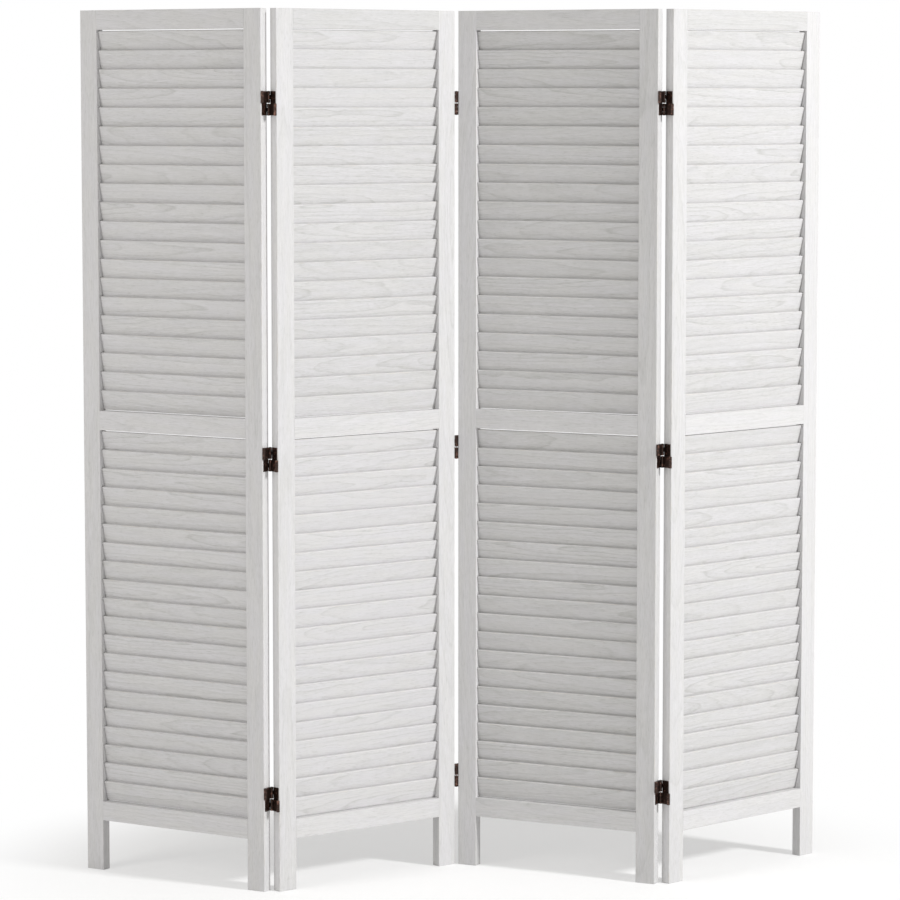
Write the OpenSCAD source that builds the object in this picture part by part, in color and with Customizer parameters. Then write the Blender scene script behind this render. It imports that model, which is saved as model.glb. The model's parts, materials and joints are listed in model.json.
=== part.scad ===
// Folding room screen of four louvred wooden panels on double-action hinges.
// Millimetres, +Z up. X runs along the row of panels from the free edge of panel 1 to the
// free edge of panel 4, +Y points to the back, and the origin is on the floor under the middle.
//
// In a panel's own frame x runs from its left edge to its right edge, y from its front face
// to its back face and z up from the floor. In a hinge's own frame x = 0 is the middle of the
// gap between two flat panels, y is the panel's y, and z = 0 is the middle of the hinge.

/* [Panels] */
// Width of one panel over its two stiles
panel_width = 430; // [320:5:600]
// Height of the screen from the floor
panel_height = 1700; // [1400:10:2000]
// Thickness of stiles and rails
panel_thickness = 20; // [18:0.5:30]
// Width of each upright stile
stile_width = 40; // [34:1:60]
// Rounding of the long edges of stiles and rails
edge_round = 0.8; // [0.3:0.1:2]

/* [Rails] */
// Height of the top rail
top_rail_height = 38; // [30:1:60]
// Height of the middle rail
middle_rail_height = 38; // [30:1:60]
// Level of the middle rail's upper edge above the floor
middle_rail_level = 917; // [700:1:1100]
// Height of the bottom rail
bottom_rail_height = 38; // [30:1:60]
// Clear height under the bottom rail, where the stiles run on as feet
foot_height = 100; // [60:5:160]

/* [Dowels] */
// Radius of the dowels that join rails and stiles
dowel_radius = 4; // [3:0.5:5]
// Depth that a dowel reaches into each of its two pieces
dowel_depth = 24; // [16:1:28]
// Clearance round a dowel
dowel_play = 0.05; // [0.02:0.01:0.1]
// Free space behind each end of a dowel
dowel_end_space = 1; // [0.5:0.1:2]

/* [Slats] */
// Width of a slat from its upper edge to its lower edge
slat_width = 40; // [34:0.5:46]
// Thickness of a slat
slat_thickness = 5; // [4:0.5:6.5]
// Rounding of the long edges of a slat
slat_round = 1.5; // [0.5:0.1:1.9]
// Lean of a slat from upright, with its upper edge to the front
slat_tilt = 13.6; // [11:0.2:18]
// Distance from a slat's lower edge to the back face of the panel
slat_back_inset = 0.9; // [0.5:0.1:2]
// Height by which each slat covers the one above it
slat_cover = 2.5; // [1:0.1:6]
// Open slit between a rail and the slat under it
slat_top_slit = 2; // [1:0.5:8]
// Open slit between the lowest slat and the rail under it
slat_bottom_slit = 1.3; // [1:0.1:4]
// Depth of the slanted housing that holds a slat's end in the stile
housing_depth = 8; // [5:0.5:12]
// Clearance between a slat and its housing on every side
housing_play = 0.15; // [0.05:0.05:0.3]

/* [Hinges] */
// Outer radius of the hinge knuckles
knuckle_radius = 3.2; // [2.8:0.1:4]
// Radius of the hinge pins
pin_radius = 1.5; // [1:0.1:1.8]
// Running clearance between a pin and its knuckle
pin_play = 0.05; // [0.02:0.01:0.1]
// Distance from a panel's face out to the pin axis
axis_proud = 0.5; // [0.4:0.1:1.5]
// Clearance between a knuckle and whatever swings round it
swing_play = 0.3; // [0.2:0.05:0.6]
// Thickness of the leaves screwed to the panels' edges
leaf_thickness = 1.3; // [1:0.1:1.5]
// Thickness of the two link plates between the leaves
link_thickness = 1.4; // [1:0.1:1.8]
// Height of the upper and of the lower half of a hinge
half_height = 22; // [19:0.5:28]
// Open space between the two halves of a hinge
half_gap = 2; // [1.6:0.1:4]
// Height of each of a link's end knuckles
link_knuckle_height = 6.5; // [5:0.1:7]
// Clearance between two knuckles on one pin
knuckle_play = 0.3; // [0.1:0.05:0.6]
// Distance from the top of the screen to the middle of the top hinge
top_hinge_drop = 180; // [120:5:300]
// Distance from the middle rail's lower edge to the middle of the middle hinge
middle_hinge_drop = 39; // [32:1:120]
// Distance from the bottom rail's upper edge to the middle of the bottom hinge
bottom_hinge_rise = 42; // [32:1:120]

/* [Screws] */
// Radius of a screw's countersunk head
screw_head_radius = 3; // [2.6:0.1:3.4]
// Radius of a screw's shank
screw_radius = 1.25; // [1:0.05:1.6]
// Length of a screw from its face to its tip
screw_length = 15; // [10:0.5:20]
// Clearance round a screw in its leaf and in its pilot hole
screw_play = 0.1; // [0.05:0.05:0.2]
// Length of each arm of the cross recess from the middle of the head
recess_reach = 1.7; // [1.2:0.1:2]
// Width of the cross recess
recess_width = 0.7; // [0.5:0.1:1]
// Depth of the cross recess
recess_depth = 1; // [0.6:0.1:1.2]

/* [Standing pose] */
// Angle turned to the back from panel 1 to panel 2
fold_1_2 = 70; // [30:1:120]
// Angle turned to the front from panel 2 to panel 3
fold_2_3 = 65; // [30:1:120]
// Angle turned to the back from panel 3 to panel 4
fold_3_4 = 71; // [30:1:120]

/* [Hidden] */
$fn = 48;
// How far a cutter reaches past the face that it opens
past = 1;
wood_white = [0.87, 0.87, 0.86];
wood_shaded = [0.8, 0.8, 0.79];
dowel_beech = [0.82, 0.68, 0.5];
bronze = [0.24, 0.17, 0.15];
bronze_worn = [0.36, 0.27, 0.22];

panels = [1, 2, 3, 4];
joints = [1, 2, 3];

// The angle that each joint turns, and which face of the screen its axis lies on
turns = [fold_1_2, -fold_2_3, fold_3_4];
function folds_back(joint) = turns[joint - 1] > 0;

// Half the gap between two flat panels leaves the knuckles free of the panels' edges
half_panel_gap = knuckle_radius + swing_play;
front_axis = -axis_proud;
back_axis = panel_thickness + axis_proud;
function axis_depth(joint) = folds_back(joint) ? back_axis : front_axis;

// Where the panels stand: each turns about the axis that it shares with the one before
function turned(p, angle) = [p.x * cos(angle) - p.y * sin(angle), p.x * sin(angle) + p.y * cos(angle)];
function heading(panel, first) = panel == 1 ? first : heading(panel - 1, first) + turns[panel - 2];
function corner(panel, first) =
    panel == 1
    ? [0, 0]
    : corner(panel - 1, first)
        + turned([panel_width + half_panel_gap, axis_depth(panel - 1)], heading(panel - 1, first))
        - turned([-half_panel_gap, axis_depth(panel - 1)], heading(panel, first));
row = corner(4, 0) + turned([panel_width, 0], heading(4, 0));
first_heading = -atan2(row.y, row.x);

// Every round corner that could be the outermost, as [x, y, radius], to centre the row
function seen(panel, p, radius) =
    let (q = corner(panel, first_heading) + turned(p, heading(panel, first_heading)))
    [q.x, q.y, radius];
panel_corners = [
    for (panel = panels, x = [edge_round, panel_width - edge_round], y = [edge_round, panel_thickness - edge_round])
        seen(panel, [x, y], edge_round)
];
knuckle_corners = [
    for (joint = joints, y = [front_axis, back_axis], side = [0, 1])
        side == 0
        ? seen(joint, [panel_width + half_panel_gap, y], knuckle_radius)
        : seen(joint + 1, [-half_panel_gap, y], knuckle_radius)
];
round_corners = concat(panel_corners, knuckle_corners);
low = [for (axis = [0, 1]) min([for (c = round_corners) c[axis] - c[2]])];
high = [for (axis = [0, 1]) max([for (c = round_corners) c[axis] + c[2]])];
middle = (low + high) / 2;

// Levels of the rails and the two openings that the slats fill
top_rail_level = panel_height - top_rail_height;
middle_rail_bottom = middle_rail_level - middle_rail_height;
bottom_rail_top = foot_height + bottom_rail_height;
opening_width = panel_width - 2 * stile_width;
upper_bay = [middle_rail_level, top_rail_level];
lower_bay = [bottom_rail_top, middle_rail_bottom];

// A slat's height and depth as it leans, its lean being that of a bar with round edges
slat_edge = min(slat_round, slat_thickness / 2 - 0.1);
slat_rise = (slat_width - 2 * slat_edge) * cos(slat_tilt) + (slat_thickness - 2 * slat_edge) * sin(slat_tilt)
    + 2 * slat_edge;
slat_run = (slat_width - 2 * slat_edge) * sin(slat_tilt) + (slat_thickness - 2 * slat_edge) * cos(slat_tilt)
    + 2 * slat_edge;
slat_depth = panel_thickness - slat_back_inset - slat_run / 2;
// The slats of a bay share its height evenly, at about the pitch that the cover asks for
function bay_travel(bay) = bay[1] - bay[0] - slat_top_slit - slat_bottom_slit - slat_rise;
function slat_gaps(bay) = max(1, round(bay_travel(bay) / (slat_rise - slat_cover)));
function slat_levels(bay) = [
    for (step = [0 : slat_gaps(bay)])
        bay[1] - slat_top_slit - slat_rise / 2 - step * bay_travel(bay) / slat_gaps(bay)
];

// Hinges: their levels, the room that knuckles swing in, and the middle knuckle's height
hinge_levels = [
    panel_height - top_hinge_drop,
    middle_rail_bottom - middle_hinge_drop,
    bottom_rail_top + bottom_hinge_rise
];
swing_radius = knuckle_radius + swing_play;
bore_radius = pin_radius + pin_play;
leaf_face = half_panel_gap - leaf_thickness;
leaf_inset = sqrt(swing_radius * swing_radius - leaf_face * leaf_face) - axis_proud;
half_middle = (half_gap + half_height) / 2;
leaf_knuckle_height = half_height - 2 * link_knuckle_height - 2 * knuckle_play;
pin_head_height = 0.5;
pin_head_radius = min(knuckle_radius - 0.6, pin_radius + 0.8);

// Screws: the cone of a head falls by its radius, so it ends as wide as the shank
head_depth = screw_head_radius - screw_radius;
tip_length = 3 * screw_radius;

// Puts what is drawn in a panel's own frame where that panel stands
module stand(panel) {
    p = corner(panel, first_heading) - middle;
    translate([p.x, p.y, 0]) rotate([0, 0, heading(panel, first_heading)]) children();
}

// Puts what is drawn in a hinge's own frame at the three hinges on a panel's right or left edge
module on_right_edge(panel) {
    stand(panel)
        for (level = hinge_levels) translate([panel_width + half_panel_gap, 0, level]) children();
}

module on_left_edge(panel) {
    stand(panel)
        for (level = hinge_levels) translate([-half_panel_gap, 0, level]) children();
}

// Flat outline of a bar with rounded long edges, centred
module bar_outline(width, depth, radius) {
    square([width - 2 * radius, depth], center = true);
    square([width, depth - 2 * radius], center = true);
    for (x = [-1, 1], y = [-1, 1])
        translate([x * (width / 2 - radius), y * (depth / 2 - radius)]) circle(radius);
}

// Stile, drawn from x = 0, with the housings and dowel holes on its inner edge and the screw
// holes of the hinges on its outer edge
module stile(inner_on_right, hinged) {
    inner = inner_on_right ? stile_width : 0;
    inward = inner_on_right ? -1 : 1;
    difference() {
        translate([stile_width / 2, panel_thickness / 2])
            linear_extrude(panel_height) bar_outline(stile_width, panel_thickness, edge_round);
        for (bay = [upper_bay, lower_bay], level = slat_levels(bay))
            translate([inner_on_right ? stile_width - housing_depth : -past, slat_depth, level])
                slat_bar(housing_depth + past, housing_play);
        for (level = dowel_levels())
            translate([inner, panel_thickness / 2, level]) rotate([0, inward * 90, 0])
                translate([0, 0, -past]) cylinder(r = dowel_radius + dowel_play, h = past + dowel_depth + dowel_end_space);
        if (hinged)
            for (level = hinge_levels, half = [-1, 1])
                translate([stile_width - inner, panel_thickness / 2, level + half * half_middle])
                    rotate([0, -inward * 90, 0]) pilot_hole();
    }
}

// Pilot hole into +z from z = 0, with the end of the head's countersink at its mouth
module pilot_hole() {
    mouth = screw_head_radius - leaf_thickness + screw_play;
    translate([0, 0, -past]) cylinder(r = screw_radius + screw_play, h = past + screw_length - leaf_thickness + past);
    translate([0, 0, -past]) cylinder(r1 = mouth + past, r2 = 0.01, h = mouth + past);
}

// Rail between the stiles, with two dowel holes in each end
module rail(level, height) {
    difference() {
        translate([stile_width, panel_thickness / 2, level + height / 2]) rotate([90, 0, 90])
            linear_extrude(opening_width) bar_outline(panel_thickness, height, edge_round);
        for (side = [-1, 1], z = dowel_pair(level, height))
            translate([panel_width / 2 + side * opening_width / 2, panel_thickness / 2, z])
                rotate([0, -side * 90, 0]) translate([0, 0, -past])
                    cylinder(r = dowel_radius + dowel_play, h = past + dowel_depth + dowel_end_space);
    }
}

function dowel_pair(level, height) = [level + height / 4, level + height * 3 / 4];
function dowel_levels() = concat(
    dowel_pair(top_rail_level, top_rail_height),
    dowel_pair(middle_rail_bottom, middle_rail_height),
    dowel_pair(foot_height, bottom_rail_height)
);

// A leaning slat along +x from x = 0, swollen all round by a clearance
module slat_bar(length, clearance) {
    rotate([90, 0, 90]) linear_extrude(length) rotate(slat_tilt)
        bar_outline(slat_thickness + 2 * clearance, slat_width + 2 * clearance, slat_edge + clearance);
}

module left_stile(panel) {
    color(wood_white) stand(panel) stile(true, panel > 1);
}

module right_stile(panel) {
    color(wood_white) stand(panel) translate([panel_width - stile_width, 0, 0]) stile(false, panel < len(panels));
}

module top_rail(panel) {
    color(wood_white) stand(panel) rail(top_rail_level, top_rail_height);
}

module middle_rail(panel) {
    color(wood_white) stand(panel) rail(middle_rail_bottom, middle_rail_height);
}

module bottom_rail(panel) {
    color(wood_white) stand(panel) rail(foot_height, bottom_rail_height);
}

// The fixed slats of one bay, each with its ends in the housings
module slats(panel, bay) {
    color(wood_shaded) stand(panel)
        for (level = slat_levels(bay))
            translate([stile_width - housing_depth + housing_play, slat_depth, level])
                slat_bar(opening_width + 2 * (housing_depth - housing_play), 0);
}

module dowels(panel) {
    color(dowel_beech) stand(panel)
        for (x = [stile_width, panel_width - stile_width], level = dowel_levels())
            translate([x, panel_thickness / 2, level]) rotate([0, 90, 0])
                cylinder(r = dowel_radius, h = 2 * dowel_depth, center = true);
}

// Leaf on a left panel's edge: its knuckle is in front in the upper half and behind in the lower
module leaf() {
    knuckle_reach = leaf_inset + axis_proud + past;
    difference() {
        union() {
            translate([-half_panel_gap, leaf_inset, -half_middle - half_height / 2])
                cube([leaf_thickness, panel_thickness - 2 * leaf_inset, 2 * half_middle + half_height]);
            for (end = [-1, 1]) {
                y = end < 0 ? front_axis : back_axis;
                translate([0, y, -end * half_middle]) {
                    cylinder(r = knuckle_radius, h = leaf_knuckle_height, center = true);
                    translate([-half_panel_gap, end < 0 ? 0 : -knuckle_reach, -leaf_knuckle_height / 2])
                        cube([leaf_thickness, knuckle_reach, leaf_knuckle_height]);
                }
            }
        }
        for (end = [-1, 1])
            translate([0, end < 0 ? front_axis : back_axis, -end * half_middle])
                cylinder(r = bore_radius, h = leaf_knuckle_height + 2 * past, center = true);
        for (half = [-1, 1])
            translate([-leaf_face, panel_thickness / 2, half * half_middle]) rotate([0, -90, 0]) {
                translate([0, 0, -past]) cylinder(r = screw_radius + screw_play, h = leaf_thickness + 2 * past);
                translate([0, 0, -past])
                    cylinder(r1 = screw_head_radius + screw_play + past, r2 = 0.01, h = screw_head_radius + screw_play + past);
            }
    }
}

// Link of the upper half: a plate with two knuckles at each end, cut out between them for the
// knuckles of the leaves
module link() {
    window = half_height - 2 * link_knuckle_height;
    difference() {
        union() {
            translate([-link_thickness / 2, front_axis, half_middle - half_height / 2])
                cube([link_thickness, back_axis - front_axis, half_height]);
            for (y = [front_axis, back_axis]) translate([0, y, half_middle - half_height / 2])
                cylinder(r = knuckle_radius, h = half_height);
        }
        for (y = [front_axis, back_axis]) translate([0, y, half_middle]) {
            cylinder(r = bore_radius, h = half_height + 2 * past, center = true);
            cylinder(r = swing_radius, h = window, center = true);
        }
    }
}

// Pins of the upper half's link, riveted over at both ends
module link_pins() {
    for (y = [front_axis, back_axis]) translate([0, y, half_middle]) {
        cylinder(r = pin_radius, h = half_height, center = true);
        for (end = [0, 1]) mirror([0, 0, end]) translate([0, 0, half_height / 2])
            cylinder(r1 = pin_head_radius, r2 = pin_head_radius - pin_head_height, h = pin_head_height);
    }
}

// The two countersunk screws of a leaf on a left panel's edge, with cross recesses
module leaf_screws() {
    for (half = [-1, 1])
        translate([-leaf_face, panel_thickness / 2, half * half_middle]) rotate([0, -90, 0]) difference() {
            union() {
                cylinder(r1 = screw_head_radius, r2 = screw_radius, h = head_depth);
                cylinder(r = screw_radius, h = screw_length - tip_length);
                translate([0, 0, screw_length - tip_length]) cylinder(r1 = screw_radius, r2 = 0.2, h = tip_length);
            }
            for (turn = [0, 90]) rotate(turn)
                cube([2 * recess_reach, recess_width, 2 * recess_depth], center = true);
        }
}

// A leaf or screw turned end over end for the other panel, and a link for the lower half
module end_over_end() {
    rotate([0, 180, 0]) children();
}

module left_leaves(joint) {
    color(bronze) on_right_edge(joint) leaf();
}

module right_leaves(joint) {
    color(bronze) on_left_edge(joint + 1) end_over_end() leaf();
}

module left_screws(joint) {
    color(bronze_worn) on_right_edge(joint) leaf_screws();
}

module right_screws(joint) {
    color(bronze_worn) on_left_edge(joint + 1) end_over_end() leaf_screws();
}

// Where the axis in use is behind, the upper link stays with the left panel and the lower
// link with the right panel, and where it is in front they change over
module with_upper_half(joint) {
    if (folds_back(joint)) on_right_edge(joint) children();
    else on_left_edge(joint + 1) children();
}

module with_lower_half(joint) {
    if (folds_back(joint)) on_left_edge(joint + 1) end_over_end() children();
    else on_right_edge(joint) end_over_end() children();
}

module upper_links(joint) {
    color(bronze) with_upper_half(joint) link();
}

module lower_links(joint) {
    color(bronze) with_lower_half(joint) link();
}

module upper_pins(joint) {
    color(bronze_worn) with_upper_half(joint) link_pins();
}

module lower_pins(joint) {
    color(bronze_worn) with_lower_half(joint) link_pins();
}

for (panel = panels) {
    left_stile(panel);
    right_stile(panel);
    top_rail(panel);
    middle_rail(panel);
    bottom_rail(panel);
    slats(panel, upper_bay);
    slats(panel, lower_bay);
    dowels(panel);
}
for (joint = joints) {
    left_leaves(joint);
    right_leaves(joint);
    upper_links(joint);
    lower_links(joint);
    upper_pins(joint);
    lower_pins(joint);
    left_screws(joint);
    right_screws(joint);
}
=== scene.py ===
# %% [markdown]
# # A folding louvred screen in white-washed wood
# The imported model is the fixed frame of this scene. It has every piece of the real screen as its
# own node, and it knows how the panels turn. This script gives that frame its looks. The boards
# and slats are made again with softer edges and with coordinates for their grain. The hinges keep
# the shape that they have in the model and get their metal.
# %% Load the model
import json
import math

import bpy
import numpy as np
from mathutils import Matrix, Vector


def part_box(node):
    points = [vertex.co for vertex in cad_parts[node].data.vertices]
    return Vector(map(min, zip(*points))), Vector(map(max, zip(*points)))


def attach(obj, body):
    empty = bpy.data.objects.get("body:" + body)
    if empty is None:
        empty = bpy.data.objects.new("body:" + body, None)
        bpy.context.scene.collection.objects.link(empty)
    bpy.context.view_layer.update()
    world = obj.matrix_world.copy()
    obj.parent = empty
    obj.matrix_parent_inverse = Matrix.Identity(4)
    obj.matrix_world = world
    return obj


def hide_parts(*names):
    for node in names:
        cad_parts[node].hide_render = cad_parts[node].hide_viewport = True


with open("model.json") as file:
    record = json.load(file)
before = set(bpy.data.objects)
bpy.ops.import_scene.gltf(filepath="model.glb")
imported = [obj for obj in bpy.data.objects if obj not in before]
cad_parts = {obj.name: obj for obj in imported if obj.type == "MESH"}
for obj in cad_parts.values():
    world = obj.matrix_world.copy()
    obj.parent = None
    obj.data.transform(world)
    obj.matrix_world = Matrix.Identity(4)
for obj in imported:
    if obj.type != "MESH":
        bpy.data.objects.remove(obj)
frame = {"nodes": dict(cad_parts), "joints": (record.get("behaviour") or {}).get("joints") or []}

scene = bpy.context.scene
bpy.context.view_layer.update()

# %% [markdown]
# ## Sizes
# These are the sizes of the model's source, in metres. A panel has its own coordinates: x runs
# from its left edge to its right edge, y from its front face to its back face, and z up. All the
# wood is made there, and is set in place at the end with one matrix a panel.
# %% Sizes of a panel
PANEL_WIDTH = 0.430
PANEL_HEIGHT = 1.700
THICKNESS = 0.020
STILE_WIDTH = 0.040
ARRIS = 0.0006
OUTER_ARRIS = 0.0016
OPENING = PANEL_WIDTH - 2 * STILE_WIDTH

# A rail is named with its lower and its upper edge
RAILS = {"top_rail": (1.662, 1.700), "middle_rail": (0.879, 0.917), "bottom_rail": (0.100, 0.138)}
print("opening between the stiles", round(OPENING, 3), "m")

# %% [markdown]
# A slat leans with its upper edge to the front, so that nobody looks through the screen from
# above. Its two ends sit in slanted housings in the stiles. The slats of an opening share its
# height evenly, and so the two openings have a slightly different pitch.
# %% Sizes of the slats
SLAT_WIDTH = 0.040
SLAT_THICKNESS = 0.005
SLAT_ROUND = 0.0015
SLAT_LEAN = math.radians(13.6)
SLATS = 20
HOUSING = 0.008
HOUSING_PLAY = 0.00015
HOUSING_SEAM = 0.0008
SLIT_OVER = 0.002
SLIT_UNDER = 0.0013
BACK_INSET = 0.0009

straight_width = SLAT_WIDTH - 2 * SLAT_ROUND
straight_thickness = SLAT_THICKNESS - 2 * SLAT_ROUND
lean_cos, lean_sin = math.cos(SLAT_LEAN), math.sin(SLAT_LEAN)
slat_rise = straight_width * lean_cos + straight_thickness * lean_sin + 2 * SLAT_ROUND
slat_run = straight_width * lean_sin + straight_thickness * lean_cos + 2 * SLAT_ROUND
slat_depth = THICKNESS - BACK_INSET - slat_run / 2


def slat_row(low, high):
    """The middle of an opening's highest slat, and the pitch down to the next one."""
    highest = high - SLIT_OVER - slat_rise / 2
    lowest = low + SLIT_UNDER + slat_rise / 2
    return highest, (highest - lowest) / (SLATS - 1)


OPENINGS = {
    "upper_slats": slat_row(RAILS["middle_rail"][1], RAILS["top_rail"][0]),
    "lower_slats": slat_row(RAILS["bottom_rail"][1], RAILS["middle_rail"][0]),
}
for opening, (highest, pitch) in OPENINGS.items():
    print(opening, "highest middle", round(highest, 4), "pitch", round(pitch, 5))

# %% [markdown]
# The four panels stand in a zigzag. Each shares a hinge axis with the next one: behind the panels
# where the next one turns to the back, and in front of them where it turns to the front. The frame
# says where the three axes stand, and a panel stands where its own coordinates have them too. The
# two axes of panel 2 also say which way it runs, and the other panels turn from there.
# %% Places of the panels
# A panel's turn from the one on its left, in degrees. One to the back is more than 0.
TURNS = {2: 70, 3: -65, 4: 71}
HALF_PANEL_GAP = 0.0035
AXIS_PROUD = 0.0005

# The axis on the left of a panel, in the frame
AXES = {number: Vector(joint["pos_m"]) for number, joint in zip(TURNS, frame["joints"])}


def own_axis(axis, to_its_right):
    """An axis in the coordinates of the panel to its right or of the one to its left."""
    across = -HALF_PANEL_GAP if to_its_right else PANEL_WIDTH + HALF_PANEL_GAP
    return Vector((across, THICKNESS + AXIS_PROUD if TURNS[axis] > 0 else -AXIS_PROUD, 0))


def heading(number):
    """The direction that a panel runs in, in radians."""
    if number == 1:
        return heading(2) - math.radians(TURNS[2])
    if number > 2:
        return heading(number - 1) + math.radians(TURNS[number])
    own = own_axis(3, False) - own_axis(2, True)
    stands = AXES[3] - AXES[2]
    return math.atan2(stands.y, stands.x) - math.atan2(own.y, own.x)


def panel_place(number):
    """The matrix from a panel's own coordinates to the frame."""
    axis = max(number, 2)
    turn = Matrix.Rotation(heading(number), 4, "Z")
    stands = Matrix.Translation((AXES[axis].x, AXES[axis].y, 0))
    return stands @ turn @ Matrix.Translation(-own_axis(axis, number == axis))


PANELS = (1, 2, 3, 4)
for number in PANELS:
    start = panel_place(number).to_translation()
    print("panel", number, "starts at", tuple(round(v, 6) for v in start), "m and runs in the direction",
          round(math.degrees(heading(number)), 4))

# %% [markdown]
# ## The camera
# The picture looks at the screen from well off and from eye height, a little downwards. The
# camera was found from the edges of the panels and slats: a long lens at over seven metres, which
# keeps the sides of the panels nearly upright. It has no shift and no depth of field.
# %% Place the camera
camera_data = bpy.data.cameras.new("camera")
camera_data.sensor_width = 36
camera_data.lens = 149.73
camera = bpy.data.objects.new("camera", camera_data)
camera.location = (-0.7415, -7.2671, 1.5371)
camera.rotation_euler = (math.radians(90 - 5.429), 0, math.radians(-5.669))
scene.collection.objects.link(camera)
scene.camera = camera
print("camera stands", round(math.hypot(*camera.location[:2]), 2), "m from the middle of the screen")

# %% [markdown]
# ## Writing node trees down
# Both the finishes and the boards come from node trees. A tree is easier to read as sums than as
# a list of nodes and links. A Wire is the output of a node, and a sum of wires adds the nodes of
# that sum. A Plan is the tree. It makes sums, mixed colours and any other node. Wires that carry a
# vector go through Vector Math, so that no colour or place turns into a single number.
# %% Wires and plans
class Wire:
    """An output socket of a tree that can be added, multiplied and so on."""

    def __init__(self, plan, socket):
        self.plan = plan
        self.socket = socket

    def out(self, name):
        """Another output of the same node."""
        return Wire(self.plan, named(self.socket.node.outputs, name))

    def __add__(self, other):
        return self.plan.sum("ADD", self, other)

    def __radd__(self, other):
        return self.plan.sum("ADD", other, self)

    def __sub__(self, other):
        return self.plan.sum("SUBTRACT", self, other)

    def __mul__(self, other):
        return self.plan.sum("MULTIPLY", self, other)

    def __truediv__(self, other):
        return self.plan.sum("DIVIDE", self, other)


def named(sockets, key):
    """The socket in use that has this name, or this place in the list."""
    in_use = [s for s in sockets if s.enabled]
    if isinstance(key, int):
        return in_use[key]
    return next(s for s in in_use if s.name == key)


class Plan:
    """A node tree that is written down node by node."""

    def __init__(self, tree):
        self.tree = tree

    def node(self, kind, settings=None, sockets=None):
        """Makes a node. Its settings come first, because they decide which sockets are in use."""
        made = self.tree.nodes.new(kind)
        for key, value in (settings or {}).items():
            if key == "stops":
                self.set_stops(made.color_ramp, value)
            else:
                setattr(made, key, value)
        for key, value in (sockets or {}).items():
            socket = named(made.inputs, key)
            if isinstance(value, Wire):
                self.tree.links.new(value.socket, socket)
            else:
                socket.default_value = value
        return Wire(self, named(made.outputs, 0)) if any(s.enabled for s in made.outputs) else None

    def set_stops(self, ramp, stops):
        """Gives a colour ramp its stops, each a place and a grey or a colour."""
        while len(ramp.elements) < len(stops):
            ramp.elements.new(0.5)
        for element, (place, colour) in zip(ramp.elements, stops):
            element.position = place
            element.color = (colour,) * 3 + (1,) if isinstance(colour, (int, float)) else (*colour, 1)

    def sum(self, operation, *terms):
        """A Math node, or a Vector Math node where one of the terms is a vector."""
        vector = any(isinstance(t, Wire) and t.socket.type in ("VECTOR", "RGBA") for t in terms)
        if vector:
            terms = [t if isinstance(t, (Wire, tuple)) else (t, t, t) for t in terms]
        kind = "ShaderNodeVectorMath" if vector else "ShaderNodeMath"
        return self.node(kind, {"operation": operation}, dict(enumerate(terms)))

    def mix(self, share, first, second):
        """A colour between two colours."""
        settings = {"data_type": "RGBA", "blend_type": "MIX"}
        return self.node("ShaderNodeMix", settings, {"Factor": share, "A": first, "B": second})


def linear(red, green, blue):
    """The colour that a shader needs, from the three numbers that a picture has for it."""
    parts = [v / 255 for v in (red, green, blue)]
    return tuple(v / 12.92 if v <= 0.04045 else ((v + 0.055) / 1.055) ** 2.4 for v in parts) + (1,)


print("a wall of 230 in the picture has the shade", round(linear(230, 230, 230)[0], 3))

# %% [markdown]
# Every finish starts as an empty tree, and some steps come back in most of them: a number that a
# board carries, a soft step from 0 to 1, and noise with a length, a depth and a width. The floor and
# the world also ask who looks at them: an eye, straight or by way of a shiny or a clear surface, or
# only the light that goes round the studio.
# %% Steps that come back in the finishes
def new_finish(name):
    """An empty material, and the plan of its tree."""
    material = bpy.data.materials.new(name)
    material.use_nodes = True
    material.node_tree.nodes.clear()
    return material, Plan(material.node_tree)


def carried(plan, name):
    """A number that a board carries under this name."""
    return plan.node("ShaderNodeAttribute", {"attribute_name": name}).out("Fac")


def soft_step(plan, value, low, high):
    """Goes softly from 0 to 1 while the value goes from low to high."""
    sockets = {"Value": value, "From Min": low, "From Max": high}
    return plan.node("ShaderNodeMapRange", {"interpolation_type": "SMOOTHSTEP"}, sockets)


def noise(plan, own, sizes, detail=2.0, roughness=0.5):
    """Noise that is as long, deep and wide as the sizes, in millimetres of the board."""
    stretch = tuple(1 / size for size in sizes)
    sockets = {"Vector": own * stretch, "Scale": 1.0, "Detail": detail, "Roughness": roughness}
    return plan.node("ShaderNodeTexNoise", {"noise_dimensions": "3D"}, sockets)


def seen_by_eye(plan):
    """1 where an eye looks, and 0 where light only passes on its way round the studio."""
    ray = plan.node("ShaderNodeLightPath")
    seen = plan.sum("MAXIMUM", ray.out("Is Camera Ray"), ray.out("Is Glossy Ray"))
    return plan.sum("MAXIMUM", seen, ray.out("Is Transmission Ray"))


print("steps for the finishes: new_finish, carried, soft_step, noise, seen_by_eye")

# %% [markdown]
# ## White-washed wood
# The boards are sawn from a light wood with wide growth rings, and a thin white wash lets the
# grain through. A picture of wood would look the same on every board. Here the grain is worked out
# from what it is: rings round the heart of the tree, cut by the faces of the board. Each board
# carries what that takes. "grain" is the place in the board, along it, through it and across it.
# "board" is a number that decides where in the tree it was sawn. "arris" is 1 on its rounded edges,
# "end_grain" is 1 on its sawn ends, and "greyness" is how much greyer it is than its
# neighbours: its own tone on some boards, painted shade on most of panel 3 and painted light on the
# lower slats of panel 2.
#
# The heart lies up to a few centimetres from the board and not quite in line with it, so a face
# shows either straight lines or the long pointed arches of plain-sawn wood.
# %% Where in the tree a board was sawn
# In millimetres, but for the drift, which is a slope. The heart's distance is its least and its most.
HEART_AWAY = (7, 53)
HEART_ASIDE = 32
HEART_DRIFT = 0.1
WAVER = (0, 12, 12)
WAVER_SIZE = (110, 30, 30)
BOARDS_APART = 4000
LOTS_APART = 91.7


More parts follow.
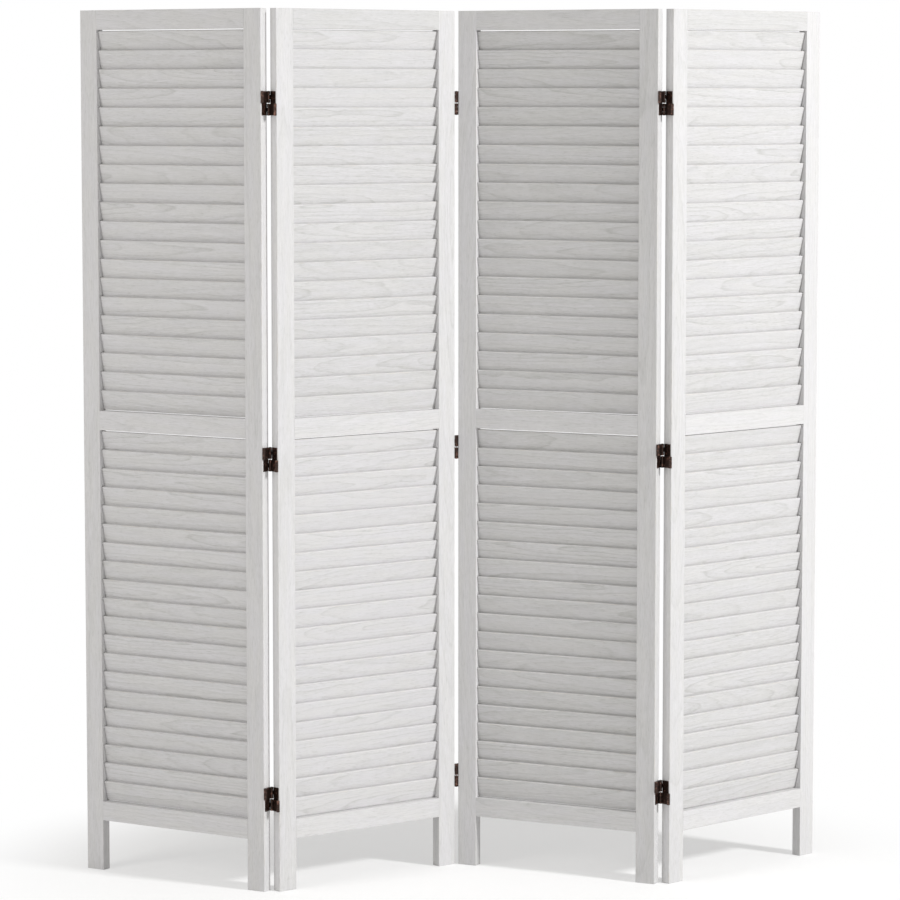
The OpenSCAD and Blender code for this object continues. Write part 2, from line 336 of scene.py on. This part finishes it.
def sawn_from(plan):
    """A place in the tree, its distance from the heart, and the board's own random numbers."""
    place = plan.node("ShaderNodeAttribute", {"attribute_name": "grain"}).out("Vector") * 1000
    number = carried(plan, "board") * LOTS_APART
    luck = plan.node("ShaderNodeTexWhiteNoise", {"noise_dimensions": "1D"}, {"W": number}).out("Color")
    lots = plan.node("ShaderNodeSeparateXYZ", None, {0: luck})
    own = place + luck * BOARDS_APART
    waver = (noise(plan, own, WAVER_SIZE).out("Color") - 0.5) * WAVER
    along = plan.node("ShaderNodeSeparateXYZ", None, {0: place + waver})
    nearest, farthest = HEART_AWAY
    drift = along * ((lots - 0.5) * (2 * HEART_DRIFT))
    away = nearest + lots.out("Y") * (farthest - nearest) + drift
    aside = (lots.out("Z") - 0.5) * (2 * HEART_ASIDE)
    spoke = {"X": 0.0, "Y": along.out("Y") + away, "Z": along.out("Z") - aside}
    radius = plan.sum("LENGTH", plan.node("ShaderNodeCombineXYZ", None, spoke)).out("Value")
    return own, radius, lots


print("the heart of the tree is", HEART_AWAY[0], "to", HEART_AWAY[1], "mm from the middle of a board")

# %% [markdown]
# A year's ring starts pale and open and darkens towards its end, where it has a thin edge. The ramp
# is that ring's profile. Every ring gets its own strength, since some years leave hardly a mark, and
# here and there the wash is so thick that it hides them all.
# %% Growth rings
RING_GAP = 7.0
RING_PROFILE = [(0.0, 0.3), (0.05, 0.0), (0.45, 0.05), (0.78, 0.4), (0.93, 1.0), (1.0, 0.3)]
WEAKEST_YEAR = 0.2
THICK_WASH = (160, 24, 24)


def growth_rings(plan, own, radius):
    """How dark the growth rings are at a distance from the heart."""
    years = radius / RING_GAP
    year = plan.sum("FLOOR", years)
    season = plan.sum("FRACT", years)
    ring = plan.node("ShaderNodeValToRGB", {"stops": RING_PROFILE}, {"Fac": season})
    vigour = plan.node("ShaderNodeTexWhiteNoise", {"noise_dimensions": "1D"}, {"W": year + 0.37})
    fade = noise(plan, own, THICK_WASH) * 2.0 - 0.15
    return ring * (WEAKEST_YEAR + vigour * (1 - WEAKEST_YEAR)) * plan.sum("SMOOTH_MIN", fade, 1.0, 0.2)


print("a ring is", RING_GAP, "mm wide and darkest at", RING_PROFILE[-2][0], "of its width")

# %% [markdown]
# Between the rings run the fibres: streaks as wide as a match that show from across a room, finer
# ones for a close look, and pores as short grey dashes. The wash lies over it in faint clouds, some
# a little cooler and some warmer where the wood shows, and it is thinner on the rounded edges.
# Each of these is noise stretched along the board. A mark's strength says how much it darkens the
# wash, and the same marks make the fine relief that low light shows.
# %% The white-washed finish
# How long, deep and wide the marks are, in millimetres, and how strong. A step is the stretch of
# the noise in which a mark sets in.
FIBRES, FIBRE_MARK = (16, 0.8, 0.8), 0.7
STREAKS, STREAK_MARK = (30, 1.6, 1.6), 0.75
BANDS, BAND_MARK = (170, 8, 8), 0.3
PORES, PORE_MARK, PORE_STEP = (12, 1.1, 1.1), 0.28, (0.58, 0.68)
RUBBED_SPOTS, RUBBED_MARK, RUBBED_STEP = (30, 6, 6), 0.3, (0.5, 0.68)
CLOUDS, CLOUD_STEP = (90, 22, 22), (0.36, 0.64)
ALL_OVER, END_MARK = 0.19, 0.4
BARE_WOOD = linear(206, 196, 178)


def white_washed_wood(name, wash, shade, ring_mark, spread):
    """A finish between a wash and a darker shade, whose boards differ by the spread."""
    material, plan = new_finish(name)
    own, radius, lots = sawn_from(plan)
    rings = growth_rings(plan, own, radius)
    fibres = noise(plan, own, FIBRES, 2.0, 0.6) - 0.5
    streaks = noise(plan, own, STREAKS, 2.0, 0.6) - 0.5
    bands = noise(plan, own, BANDS) - 0.5
    pores = soft_step(plan, noise(plan, own, PORES, 1.0, 0.4), *PORE_STEP)
    rubbed = carried(plan, "arris") * soft_step(plan, noise(plan, own, RUBBED_SPOTS), *RUBBED_STEP)

    dark = ALL_OVER + rings * ring_mark + pores * PORE_MARK - fibres * FIBRE_MARK
    dark = dark - streaks * STREAK_MARK - bands * BAND_MARK + carried(plan, "end_grain") * END_MARK
    # The board's greyness darkens the wash; it also adds painted shade on panel 3 and painted light on the
    # lower slats of panel 2
    dark = dark + (lots.out("Y") - 0.5) * spread + carried(plan, "greyness")

    clouds = soft_step(plan, noise(plan, own, CLOUDS, 1.0), *CLOUD_STEP)
    warm = linear(wash[0], wash[1] - 1, wash[2] - 2)
    cool = linear(wash[0], wash[1] - 1, wash[2])
    ground = plan.mix(clouds, cool, warm)
    washed = plan.mix(plan.node("ShaderNodeClamp", None, {"Value": dark}), ground, linear(*shade))
    colour = plan.mix(rubbed * RUBBED_MARK, washed, BARE_WOOD)

    height = fibres * 0.6 + streaks * 0.5 - rings * 0.3 - pores * 0.6
    relief = {"Strength": 0.4, "Distance": 0.0003, "Height": height}
    finish = {"Base Color": colour, "Roughness": 0.62 + dark * 0.22, "Specular IOR Level": 0.3}
    finish["Normal"] = plan.node("ShaderNodeBump", None, relief)
    shader = plan.node("ShaderNodeBsdfPrincipled", None, finish)
    plan.node("ShaderNodeOutputMaterial", None, {"Surface": shader})
    return material


FRAME_WOOD = white_washed_wood("frame wood", (218, 218, 219), (188, 188, 186), ring_mark=0.36, spread=0.06)
SLAT_WOOD = white_washed_wood("slat wood", (217, 217, 218), (183, 183, 180), ring_mark=0.55, spread=0.12)
print("nodes in the finish of the slats", len(SLAT_WOOD.node_tree.nodes))

# %% [markdown]
# ## One tree for every board
# A rail, a stile and a slat are all a board with rounded edges, so one geometry tree makes them
# all. The first part of it is the board itself: a cross section with rounded corners, swept along
# the board. The upper edges may be rounded more than the lower ones, as a stile's outer edges are.
# %% One board
CORNER_STEPS = 3


def rounding_there(given, is_upper):
    """The radius of an edge, which may be another one for the upper edges."""
    return given.out("Rounding") + (given.out("Upper rounding") - given.out("Rounding")) * is_upper


def one_board(plan, given, place):
    """A board that lies along x, with its width upright."""
    # The cross section's own x becomes the board's y, and its y points down the board's z
    above = plan.sum("LESS_THAN", place.out("Y"), 0.0)
    outline = {"Width": given.out("Thickness"), "Height": given.out("Width")}
    section = plan.node("GeometryNodeCurvePrimitiveQuadrilateral", None, outline)
    fillet = {"Curve": section, "Count": CORNER_STEPS, "Radius": rounding_there(given, above)}
    section = plan.node("GeometryNodeFilletCurve", {"mode": "POLY"}, fillet)
    end = plan.node("ShaderNodeCombineXYZ", None, {"X": given.out("Length") * 0.5})
    start = plan.node("ShaderNodeCombineXYZ", None, {"X": given.out("Length") * -0.5})
    run = plan.node("GeometryNodeCurvePrimitiveLine", {"mode": "POINTS"}, {"Start": start, "End": end})
    sweep = {"Curve": run, "Profile Curve": section, "Fill Caps": True}
    return plan.node("GeometryNodeCurveToMesh", None, sweep)


print("each edge of a board is rounded in", CORNER_STEPS, "steps")

# %% [markdown]
# The tree writes down what the finish needs before it copies the board, so that it stays with each
# copy: the grain coordinates, how far a point is round the rounded edges, which faces are sawn ends,
# and how grey the board is, with painted shade and painted light included.
# %% What a board carries
# A point is on the rounded edge from this share of the rounding on, and a face is a sawn end when
# it looks along the board at least this far
ROUND_FROM = 0.5
ENDWAYS = 0.9


def stored(plan, geometry, name, data_type, domain, value):
    """Writes a value on the geometry under a name that a finish can read."""
    settings = {"data_type": data_type, "domain": domain}
    sockets = {"Geometry": geometry, "Name": name, "Value": value}
    return plan.node("GeometryNodeStoreNamedAttribute", settings, sockets)


def labelled(plan, board, given, place):
    """The board with its grain, arris, end_grain and greyness."""
    upper = plan.sum("GREATER_THAN", place.out("Z"), 0.0)
    here = rounding_there(given, upper)
    past_width = plan.sum("ABSOLUTE", place.out("Z")) - (given.out("Width") * 0.5 - here)
    past_depth = plan.sum("ABSOLUTE", place.out("Y")) - (given.out("Thickness") * 0.5 - here)
    round_edge = plan.sum("MINIMUM", past_width, past_depth) / (here * ROUND_FROM)
    round_edge = plan.node("ShaderNodeClamp", None, {"Value": round_edge})
    facing = plan.node("ShaderNodeSeparateXYZ", None, {0: plan.node("GeometryNodeInputNormal")})
    sawn = plan.sum("GREATER_THAN", plan.sum("ABSOLUTE", facing), ENDWAYS)
    position = plan.node("GeometryNodeInputPosition")
    board = stored(plan, board, "grain", "FLOAT_VECTOR", "POINT", position)
    board = stored(plan, board, "arris", "FLOAT", "POINT", round_edge)
    board = stored(plan, board, "end_grain", "FLOAT", "FACE", sawn)
    # The greyness carries painted shade and painted light on some boards
    return stored(plan, board, "greyness", "FLOAT", "POINT", given.out("Greyness"))


print("a face is a sawn end when it looks along the board by", ENDWAYS, "or more")

# %% [markdown]
# The last part sets copies of the board one under the other, each leaning by the same angle and each
# with a number of its own. A frame board is a row of one that doesn't lean.
# %% The tree of a row of boards
def input_socket(tree, name, kind, value=None):
    """Adds a named input to a tree."""
    socket = tree.interface.new_socket(name=name, in_out="INPUT", socket_type=kind)
    if value is not None:
        socket.default_value = value


def board_inputs(tree):
    """Gives the tree its inputs and its output."""
    for name in ("Length", "Width", "Thickness", "Rounding", "Upper rounding"):
        input_socket(tree, name, "NodeSocketFloat", 0.001)
    for name in ("Lean", "Start", "Depth", "Level", "Pitch", "Greyness"):
        input_socket(tree, name, "NodeSocketFloat", 0.0)
    input_socket(tree, "Boards", "NodeSocketInt", 1)
    input_socket(tree, "Seed", "NodeSocketInt", 1)
    input_socket(tree, "Wood", "NodeSocketMaterial")
    tree.interface.new_socket(name="Geometry", in_out="OUTPUT", socket_type="NodeSocketGeometry")


def row_of_boards():
    """The geometry tree of a row of boards that lean."""
    tree = bpy.data.node_groups.new("row of boards", "GeometryNodeTree")
    board_inputs(tree)
    plan = Plan(tree)
    given = plan.node("NodeGroupInput")
    place = plan.node("ShaderNodeSeparateXYZ", None, {0: plan.node("GeometryNodeInputPosition")})
    board = labelled(plan, one_board(plan, given, place), given, place)

    first = {"X": given.out("Start"), "Y": given.out("Depth"), "Z": given.out("Level")}
    line = {
        "Count": given.out("Boards"),
        "Start Location": plan.node("ShaderNodeCombineXYZ", None, first),
        "Offset": plan.node("ShaderNodeCombineXYZ", None, {"Z": given.out("Pitch") * -1.0}),
    }
    points = plan.node("GeometryNodeMeshLine", None, line)
    lean = plan.node("ShaderNodeCombineXYZ", None, {"X": given.out("Lean")})
    turn = plan.node("FunctionNodeEulerToRotation", None, {"Euler": lean})
    copies = {"Points": points, "Instance": board, "Rotation": turn}
    row = plan.node("GeometryNodeInstanceOnPoints", None, copies)
    lot = plan.node("FunctionNodeRandomValue", {"data_type": "FLOAT"}, {"Seed": given.out("Seed")})
    row = stored(plan, row, "board", "FLOAT", "INSTANCE", lot)
    row = plan.node("GeometryNodeRealizeInstances", None, {"Geometry": row})
    row = plan.node("GeometryNodeSetMaterial", None, {"Geometry": row, "Material": given.out("Wood")})
    plan.node("NodeGroupOutput", None, {"Geometry": row})
    return tree


BOARDS = row_of_boards()
print("nodes in the tree of the boards", len(BOARDS.nodes))

# %% [markdown]
# ## The boards of a panel
# Every board gets its number and its greyness from its name, so it looks the same at every run. The
# top rails of panels 2 and 4 are a little greyer than their neighbours, as they are on the real
# screen, because they came from another plank or got less of the wash. The left stile of panel 4 is
# a little greyer too. The same number also carries painted light and shade: the lower slats of
# panel 2 are made lighter as painted light, as if lit from the floor, and panel 3 but for its left
# stile is made greyer as painted shade.
# %% Number, greyness and painted light of a board
GREYNESS_AND_PAINTED_LIGHT = {
    "top_rail_of_panel_2": 0.3,
    "top_rail_of_panel_4": 0.3,
    "left_stile_of_panel_4": 0.08,
    # Painted light: the lower slats of panel 2 are made lighter, as if lit by light thrown up off the floor
    "lower_slats_of_panel_2": -0.16,
}
# Painted shade: panel 3, but for its left stile, is made greyer because it gets less light than panel 1
PAINTED_SHADE_OF_PANEL_3 = 0.13
NUMBERS = 9973


def seed_of(name):
    """A number from a name, the same at every run."""
    return sum((place + 1) * ord(letter) for place, letter in enumerate(name)) % NUMBERS


def greyness_and_painted_light_of(name):
    """How grey a board is, painted light and shade included. Panel 3 is painted greyer as painted shade,
    except for its left stile.
    """
    in_panel_3 = name.endswith("panel_3") and not name.startswith("left_stile")
    return GREYNESS_AND_PAINTED_LIGHT.get(name, 0.0) + (PAINTED_SHADE_OF_PANEL_3 if in_panel_3 else 0.0)


for name in GREYNESS_AND_PAINTED_LIGHT:
    print(name, "has the number", seed_of(name), "and the greyness", greyness_and_painted_light_of(name))

# %% [markdown]
# A modifier runs the tree on an empty mesh. Its inputs are set by their identifiers before anything
# looks at the object, and the result is kept as a plain mesh, so that the finished piece has no
# modifier left. The same helper settles any other modifier later on.
# %% From a tree to a plain mesh
def settle(piece):
    """Turns what the modifiers make of a piece into its own mesh and takes them off."""
    depsgraph = bpy.context.evaluated_depsgraph_get()
    mesh = bpy.data.meshes.new_from_object(piece.evaluated_get(depsgraph), depsgraph=depsgraph)
    piece.modifiers.clear()
    piece.data = mesh
    return piece


def boards(name, wood, **sizes):
    """A row of boards as one piece, in the coordinates of its panel."""
    piece = bpy.data.objects.new(name, bpy.data.meshes.new(name))
    scene.collection.objects.link(piece)
    modifier = piece.modifiers.new("boards", "NODES")
    modifier.node_group = BOARDS
    values = {"Boards": 1, "Rounding": ARRIS, "Thickness": THICKNESS, "Wood": wood}
    values.update(sizes, Greyness=greyness_and_painted_light_of(name), Seed=seed_of(name))
    values.setdefault("Upper rounding", values["Rounding"])
    for socket in BOARDS.interface.items_tree:
        if socket.in_out == "INPUT" and socket.name in values:
            modifier[socket.identifier] = values[socket.name]
    return settle(piece)


trial = boards("trial", FRAME_WOOD, Length=OPENING, Width=STILE_WIDTH)
print("one board has", len(trial.data.polygons), "faces and carries", sorted(trial.data.attributes.keys()))
bpy.data.objects.remove(trial)

# %% [markdown]
# The rails are single boards between the stiles. The slats of an opening are one row, and reach into
# the stiles on both sides.
# %% Rails and slats
def rail(name, part):
    """A rail in its panel's coordinates."""
    low, high = RAILS[part]
    return boards(
        name,
        FRAME_WOOD,
        Length=OPENING,
        Width=high - low,
        Start=PANEL_WIDTH / 2,
        Depth=THICKNESS / 2,
        Level=(low + high) / 2,
    )


def slats(name, opening, wood, play=0.0):
    """The slats of an opening, or with some play the space of their housings."""
    highest, pitch = OPENINGS[opening]
    return boards(
        name,
        wood,
        Length=OPENING + 2 * HOUSING - 2 * HOUSING_PLAY + 2 * play,
        Width=SLAT_WIDTH + 2 * play,
        Thickness=SLAT_THICKNESS + 2 * play,
        Rounding=SLAT_ROUND + play,
        Lean=SLAT_LEAN,
        Start=PANEL_WIDTH / 2,
        Depth=slat_depth,
        Level=highest,
        Pitch=pitch,
        Boards=SLATS,
    )


trial = slats("trial", "upper_slats", SLAT_WOOD)
corners = np.array([v.co for v in trial.data.vertices])
print("slats from", corners.min(0).round(5), "to", corners.max(0).round(5), "faces", len(trial.data.polygons))
bpy.data.objects.remove(trial)

# %% [markdown]
# Where its housings are cut, a stile gets new corners. So it gets what it carries after the cut, from
# where all its corners are: the same five things as the tree writes down for the other boards.
# %% What a stile carries
FLAT = 1e-6


def write(mesh, name, kind, domain, values):
    """Writes an attribute of a mesh, over an old one of that name."""
    old = mesh.attributes.get(name)
    if old:
        mesh.attributes.remove(old)
    key = "vector" if kind == "FLOAT_VECTOR" else "value"
    mesh.attributes.new(name, kind, domain).data.foreach_set(key, np.ravel(values).astype(np.float32))


def label(piece, board, to_board):
    """Writes what the finish needs on a stile that has had its housings cut."""
    mesh = piece.data
    places = np.ones((len(mesh.vertices), 4))
    places[:, :3] = np.array([v.co for v in mesh.vertices])
    inside = places @ np.array(to_board).T
    write(mesh, "grain", "FLOAT_VECTOR", "POINT", inside[:, :3])
    write(mesh, "board", "FLOAT", "POINT", np.full(len(mesh.vertices), board))
    # The greyness carries painted shade on panel 3 and painted light on some boards
    write(mesh, "greyness", "FLOAT", "POINT", np.full(len(mesh.vertices), greyness_and_painted_light_of(piece.name)))
    rounding = np.where(inside[:, 2] > 0, OUTER_ARRIS, ARRIS)
    past_width = np.abs(inside[:, 2]) - (STILE_WIDTH / 2 - rounding)
    past_depth = np.abs(inside[:, 1]) - (THICKNESS / 2 - rounding)
    round_edge = np.clip(np.minimum(past_width, past_depth) / (ROUND_FROM * rounding), 0, 1)
    write(mesh, "arris", "FLOAT", "POINT", round_edge)
    ends = [np.ptp(inside[list(face.vertices), 0]) < FLAT for face in mesh.polygons]
    write(mesh, "end_grain", "FLOAT", "FACE", np.array(ends, float))


print("the edges of a stile are rounded by", ARRIS, "m inside and", OUTER_ARRIS, "m outside")

# %% [markdown]
# A stile is made lying down as every board is, and is then stood up with its more rounded edges
# outside. The housings are cut into it with the row of slats itself, swollen by almost a millimetre,
# because the machine that cuts them leaves a seam that shows as a dark line along the slats' ends.
# %% Stiles
GOLDEN_SHARE = 0.6180339


def stile(name, side):
    """A stile in its panel's coordinates, with its housings cut."""
    sizes = {"Length": PANEL_HEIGHT, "Width": STILE_WIDTH, "Upper rounding": OUTER_ARRIS}
    lying = boards(name, FRAME_WOOD, **sizes)
    middle = STILE_WIDTH / 2 if side == "left" else PANEL_WIDTH - STILE_WIDTH / 2
    turn = Matrix.Rotation(math.pi / 2 if side == "right" else -math.pi / 2, 4, "Y")
    upright = Matrix.Translation((middle, THICKNESS / 2, PANEL_HEIGHT / 2)) @ turn
    lying.data.transform(upright)
    for opening in OPENINGS:
        cutter = slats("cutter", opening, FRAME_WOOD, HOUSING_SEAM)
        housings = lying.modifiers.new("housings", "BOOLEAN")
        housings.operation = "DIFFERENCE"
        housings.solver = "EXACT"
        housings.object = cutter
        settle(lying)
        bpy.data.objects.remove(cutter)
    label(lying, seed_of(name) * GOLDEN_SHARE % 1, upright.inverted())
    return lying


trial = stile("trial", "left")
print("a stile has", len(trial.data.polygons), "faces")
bpy.data.objects.remove(trial)

# %% [markdown]
# ## Set the panels up
# Each piece is made in its panel's coordinates, goes to its place with the panel's matrix and
# rides on the body of that panel. It replaces the model's node of the same board, which stays for
# the physics. The rounded edges are shaded softly while the flat faces stay flat: the normals are
# weighted by the size of the faces, so the wide faces keep theirs.
# %% Make and place the wood
SHARP = math.radians(40)
MOST_WEIGHT = 100


def soften(piece):
    """Shades the rounded edges softly and leaves the flat faces flat."""
    piece.data.set_sharp_from_angle(angle=SHARP)
    weighted = piece.modifiers.new("normals", "WEIGHTED_NORMAL")
    weighted.keep_sharp = True
    weighted.weight = MOST_WEIGHT
    return settle(piece)


def set_up(piece, number, node):
    """Puts a finished piece where its panel stands, in the place of a node of the model."""
    soften(piece)
    piece.data.transform(panel_place(number))
    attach(piece, f"panel_{number}")
    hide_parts(f"panel_{number}_{node}")
    low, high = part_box(f"panel_{number}_{node}")
    places = np.array([v.co for v in piece.data.vertices])
    off = max(np.abs(places.min(0) - low).max(), np.abs(places.max(0) - high).max())
    print(piece.name, len(piece.data.polygons), "faces,", round(off * 1000, 3), "mm off its node's box")


for number in PANELS:
    for part in RAILS:
        set_up(rail(f"{part}_of_panel_{number}", part), number, part)
    for side in ("left", "right"):
        set_up(stile(f"{side}_stile_of_panel_{number}", side), number, f"{side}_stile")
    for opening in OPENINGS:
        row = slats(f"{opening}_of_panel_{number}", opening, SLAT_WOOD)
        set_up(row, number, opening)

# %% [markdown]
# ## Hinges
# The hinges are cast and plated to look like old bronze: nearly black, with a reddish brown where
# hands and screwdrivers have rubbed the dark lacquer. Their shape in the model is already right,
# so the nodes stay and only get their finish, through their material slots.
# %% Dark bronze
def old_bronze(name, dark, rubbed, amount, roughness):
    """A dark metal finish with patches that are rubbed down to a redder brown."""
    material, plan = new_finish(name)
    place = plan.node("ShaderNodeTexCoord").out("Object") * 1000
    broad = {"Vector": place, "Scale": 0.16, "Detail": 4.0, "Roughness": 0.6}
    patches = plan.node("ShaderNodeTexNoise", None, broad)
    grit = plan.node("ShaderNodeTexNoise", None, {"Vector": place, "Scale": 1.7, "Detail": 2.0})
    mask = soft_step(plan, patches * 0.8 + grit * 0.2, 0.62 - amount, 0.74 - amount)
    height = grit * 0.6 + patches * 0.4
    relief = {"Strength": 0.3, "Distance": 0.0002, "Height": height}
    finish = {"Base Color": plan.mix(mask, linear(*dark), linear(*rubbed)), "Metallic": 0.85}
    finish["Roughness"] = roughness + (grit - 0.5) * 0.25 - mask * 0.08
    finish["Normal"] = plan.node("ShaderNodeBump", None, relief)
    shader = plan.node("ShaderNodeBsdfPrincipled", None, finish)
    plan.node("ShaderNodeOutputMaterial", None, {"Surface": shader})
    return material


HINGE_METAL = old_bronze("hinge bronze", (60, 47, 42), (128, 94, 82), amount=0.1, roughness=0.38)
SCREW_METAL = old_bronze("screw bronze", (78, 62, 55), (146, 114, 98), amount=0.14, roughness=0.34)
PIN_METAL = old_bronze("pin steel", (70, 62, 58), (128, 118, 110), amount=0.12, roughness=0.3)
print("metal finishes", [metal.name for metal in (HINGE_METAL, SCREW_METAL, PIN_METAL)])

# %% [markdown]
# The dowels are hidden in the joints. They are plain beech, and keep the model's shape as well.
# Beech has fine short flecks and no strong rings, so noise stretched along the dowel is enough.
# %% Beech for the dowels
def beech():
    """A finish for the dowels."""
    material, plan = new_finish("beech")
    place = plan.node("ShaderNodeTexCoord").out("Object") * (90, 90, 900)
    fibres = plan.node("ShaderNodeTexNoise", None, {"Vector": place, "Scale": 1.0, "Detail": 3.0})
    colour = plan.mix(fibres, linear(214, 182, 142), linear(188, 150, 108))
    relief = {"Strength": 0.2, "Distance": 0.0002, "Height": fibres}
    bump = plan.node("ShaderNodeBump", None, relief)
    finish = {"Base Color": colour, "Roughness": 0.6, "Normal": bump}
    shader = plan.node("ShaderNodeBsdfPrincipled", None, finish)
    plan.node("ShaderNodeOutputMaterial", None, {"Surface": shader})
    return material


DOWEL_WOOD = beech()
print("nodes in the finish of the dowels", len(DOWEL_WOOD.node_tree.nodes))

# %% [markdown]
# Each node that keeps the model's shape gets its finish by what it is: dowels, pins, screws, or the
# leaves and links of a hinge.
# %% Finish the hinges and the dowels
def finish_of(node):
    """The finish of a node that keeps the model's shape."""
    if node.endswith("dowels"):
        return DOWEL_WOOD
    if node.endswith("pins"):
        return PIN_METAL
    return SCREW_METAL if node.endswith("screws") else HINGE_METAL


kept = [node for node in frame["nodes"] if node.startswith("hinge_") or node.endswith("_dowels")]
for node in kept:
    slots = frame["nodes"][node].data.materials
    slots.clear()
    slots.append(finish_of(node))
print("nodes with the model's shape", len(kept))

# %% [markdown]
# ## Floor and light
# The screen stands on white paper in a white studio. The floor is a real pale floor to the light,
# so that it throws light back up and takes the panels' shadows. To the camera its paper is whiter
# than it is to the panels, and a metre off it is plain white, so that no horizon shows.
# %% The white floor
# Metres, for the floor itself and for where its paper turns to plain white
FLOOR_HALF, FLOOR_DROP = 40, 0.0003
PAPER_UNTIL, WHITE_FROM = 0.6, 1.1
WHITE = (1, 1, 1, 1)
PAPER = linear(232, 232, 232)
NEAR_WHITE = 0.35


def white_floor():
    """The finish of the floor."""
    material, plan = new_finish("floor")
    reach = plan.sum("LENGTH", plan.node("ShaderNodeTexCoord").out("Object")).out("Value")
    far = soft_step(plan, reach, PAPER_UNTIL, WHITE_FROM)
    seen = seen_by_eye(plan)
    paper = plan.node("ShaderNodeBsdfDiffuse", None, {"Color": plan.mix(seen, PAPER, WHITE)})
    white = plan.node("ShaderNodeEmission", None, {"Color": WHITE, "Strength": 1.0})
    share = seen * (far * (1 - NEAR_WHITE) + NEAR_WHITE)
    shader = plan.node("ShaderNodeMixShader", None, {0: share, 1: paper, 2: white})
    plan.node("ShaderNodeOutputMaterial", None, {"Surface": shader})
    return material


quarters = ((-1, -1), (1, -1), (1, 1), (-1, 1))
corners = [(x * FLOOR_HALF, y * FLOOR_HALF, -FLOOR_DROP) for x, y in quarters]
floor_mesh = bpy.data.meshes.new("floor")
floor_mesh.from_pydata(corners, [], [(0, 1, 2, 3)])
floor = bpy.data.objects.new("floor", floor_mesh)
floor.data.materials.append(white_floor())
scene.collection.objects.link(floor)
print("the floor lies", FLOOR_DROP * 1000, "mm under the feet")

# %% [markdown]
# The light is plain and soft. The main lamp is a softbox well off to the right and high up.
# Its light only grazes the faces that look to the left, so those are a step darker than the faces
# that look to the right. A weaker softbox stands close by on the left. How strong each is was found
# by rendering the screen under one at a time and asking for which sum of them the faces have the
# brightness of the real ones.
# %% Lamps
AIM = (0, 0, 0.85)


def softbox(name, place, size, strength, tint=(1, 1, 1)):
    """A square lamp aimed at the screen. At strength 1 it alone makes a white board there white."""
    data = bpy.data.lights.new(name, "AREA")
    data.size = size
    data.color = tint
    lamp = bpy.data.objects.new(name, data)
    lamp.location = place
    reach = Vector(AIM) - lamp.location
    data.energy = strength * math.pi**2 * reach.length**2
    lamp.rotation_euler = reach.to_track_quat("-Z", "Y").to_euler()
    scene.collection.objects.link(lamp)


softbox("main softbox", (6.07, -4.41, 4.85), size=1.0, strength=0.725)
softbox("left softbox", (-2.6, -1.5, 1.5), size=1.2, strength=0.215, tint=(1, 0.98, 0.955))
print("lamps", [lamp.name for lamp in bpy.data.lights], "aimed at", AIM)

# %% [markdown]
# The world gives an even light from all round, and shows as plain white in the background.
# %% World
FILL_COLOUR, FILL = (1, 0.987, 0.966, 1), 0.505

world = bpy.data.worlds.new("studio")
scene.world = world
world.use_nodes = True
world.node_tree.nodes.clear()
plan = Plan(world.node_tree)
fill = plan.node("ShaderNodeBackground", None, {"Color": FILL_COLOUR, "Strength": FILL})
white = plan.node("ShaderNodeBackground", None, {"Color": WHITE, "Strength": 1.0})
both = plan.node("ShaderNodeMixShader", None, {0: seen_by_eye(plan), 1: fill, 2: white})
plan.node("ShaderNodeOutputWorld", None, {"Surface": both})
scene.view_settings.view_transform = "Standard"
print("the world fills in", FILL, "of a white surround")
